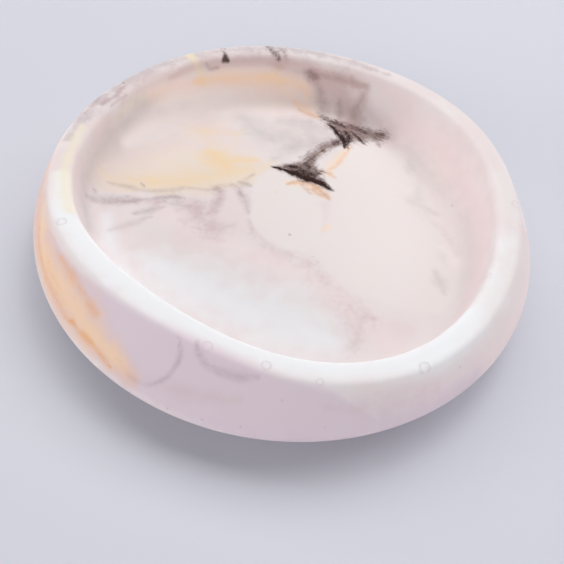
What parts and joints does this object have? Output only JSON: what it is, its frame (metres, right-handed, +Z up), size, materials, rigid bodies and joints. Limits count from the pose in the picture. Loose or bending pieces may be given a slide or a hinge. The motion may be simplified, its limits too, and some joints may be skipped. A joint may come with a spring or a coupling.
{
  "type": "ring dish",
  "caption": "Low round dish cast in marbled gypsum composite, with a narrow rounded rim, a wall that bellies out and curls under, a coved flat floor and clear bumpers below.",
  "frame": {"origin": "on the surface that the dish stands on, under the centre of its widest circle", "axes": "+Z up out of the dish; -Y towards the side that is nearest in the picture"},
  "size_m": [0.11, 0.11, 0.0217],
  "materials": {
    "marbled_gypsum": "matt, cast from a smooth mould, marbled with ochre, mauve and black pigment",
    "clear_silicone": "clear soft silicone, moulded smooth"
  },
  "bodies": {
    "root": {"dish": "marbled_gypsum", "foot_1": "clear_silicone", "foot_2": "clear_silicone", "foot_3": "clear_silicone", "foot_4": "clear_silicone"}
  },
  "joints": []
}
